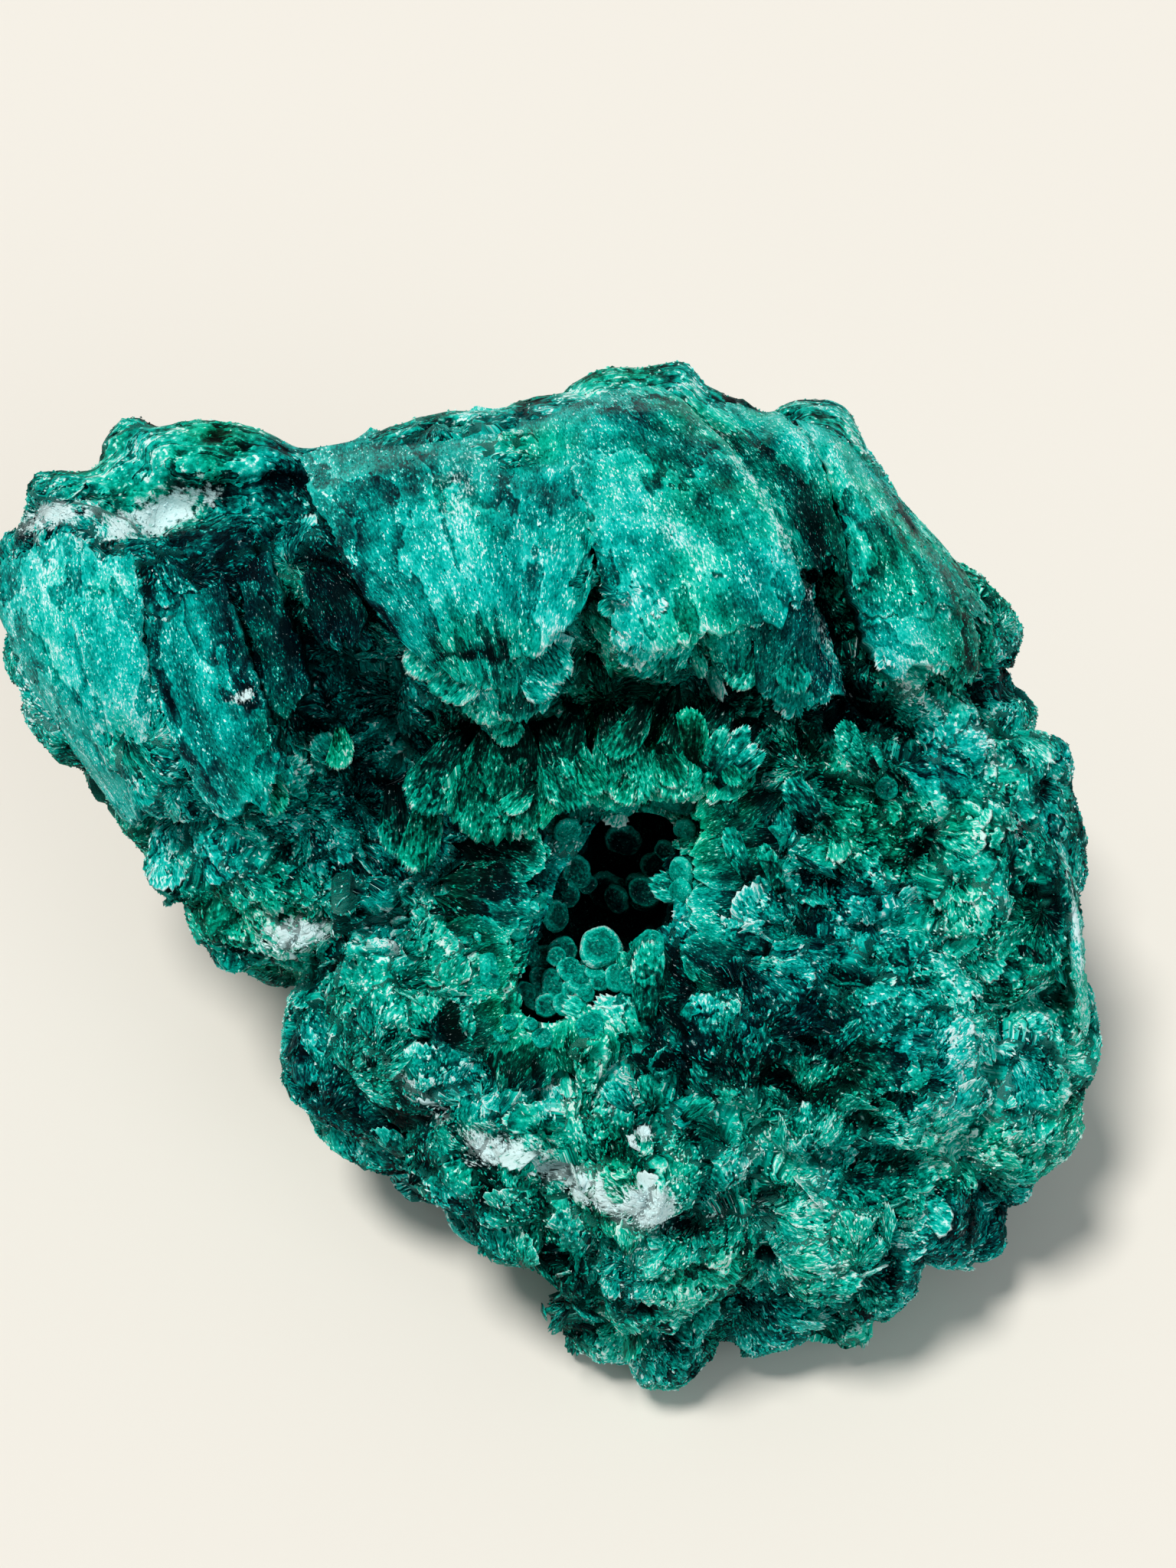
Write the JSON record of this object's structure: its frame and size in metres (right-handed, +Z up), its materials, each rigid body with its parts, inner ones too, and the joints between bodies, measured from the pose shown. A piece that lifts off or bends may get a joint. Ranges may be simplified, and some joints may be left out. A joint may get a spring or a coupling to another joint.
{
  "type": "velvet malachite specimen",
  "caption": "Natural velvet malachite specimen: silky fibrous fans over mounds of needle sprays, with an open vug lined with small rounded plates, cut off flat underneath.",
  "frame": {"origin": "in the flat that the specimen is cut off on, under the middle of the mass", "axes": "+Z up off the resting flat, +X to the right as the crystal face is seen, along the longest side, +Y to the back; the crystal face looks up and towards -Y"},
  "size_m": [0.1088, 0.0868, 0.073],
  "materials": {
    "malachite": "silky velvet of fine fibres",
    "vug_plates": "silky rounded plates"
  },
  "bodies": {
    "root": {"malachite_mass": "malachite", "vug_crust": "vug_plates"}
  },
  "joints": []
}
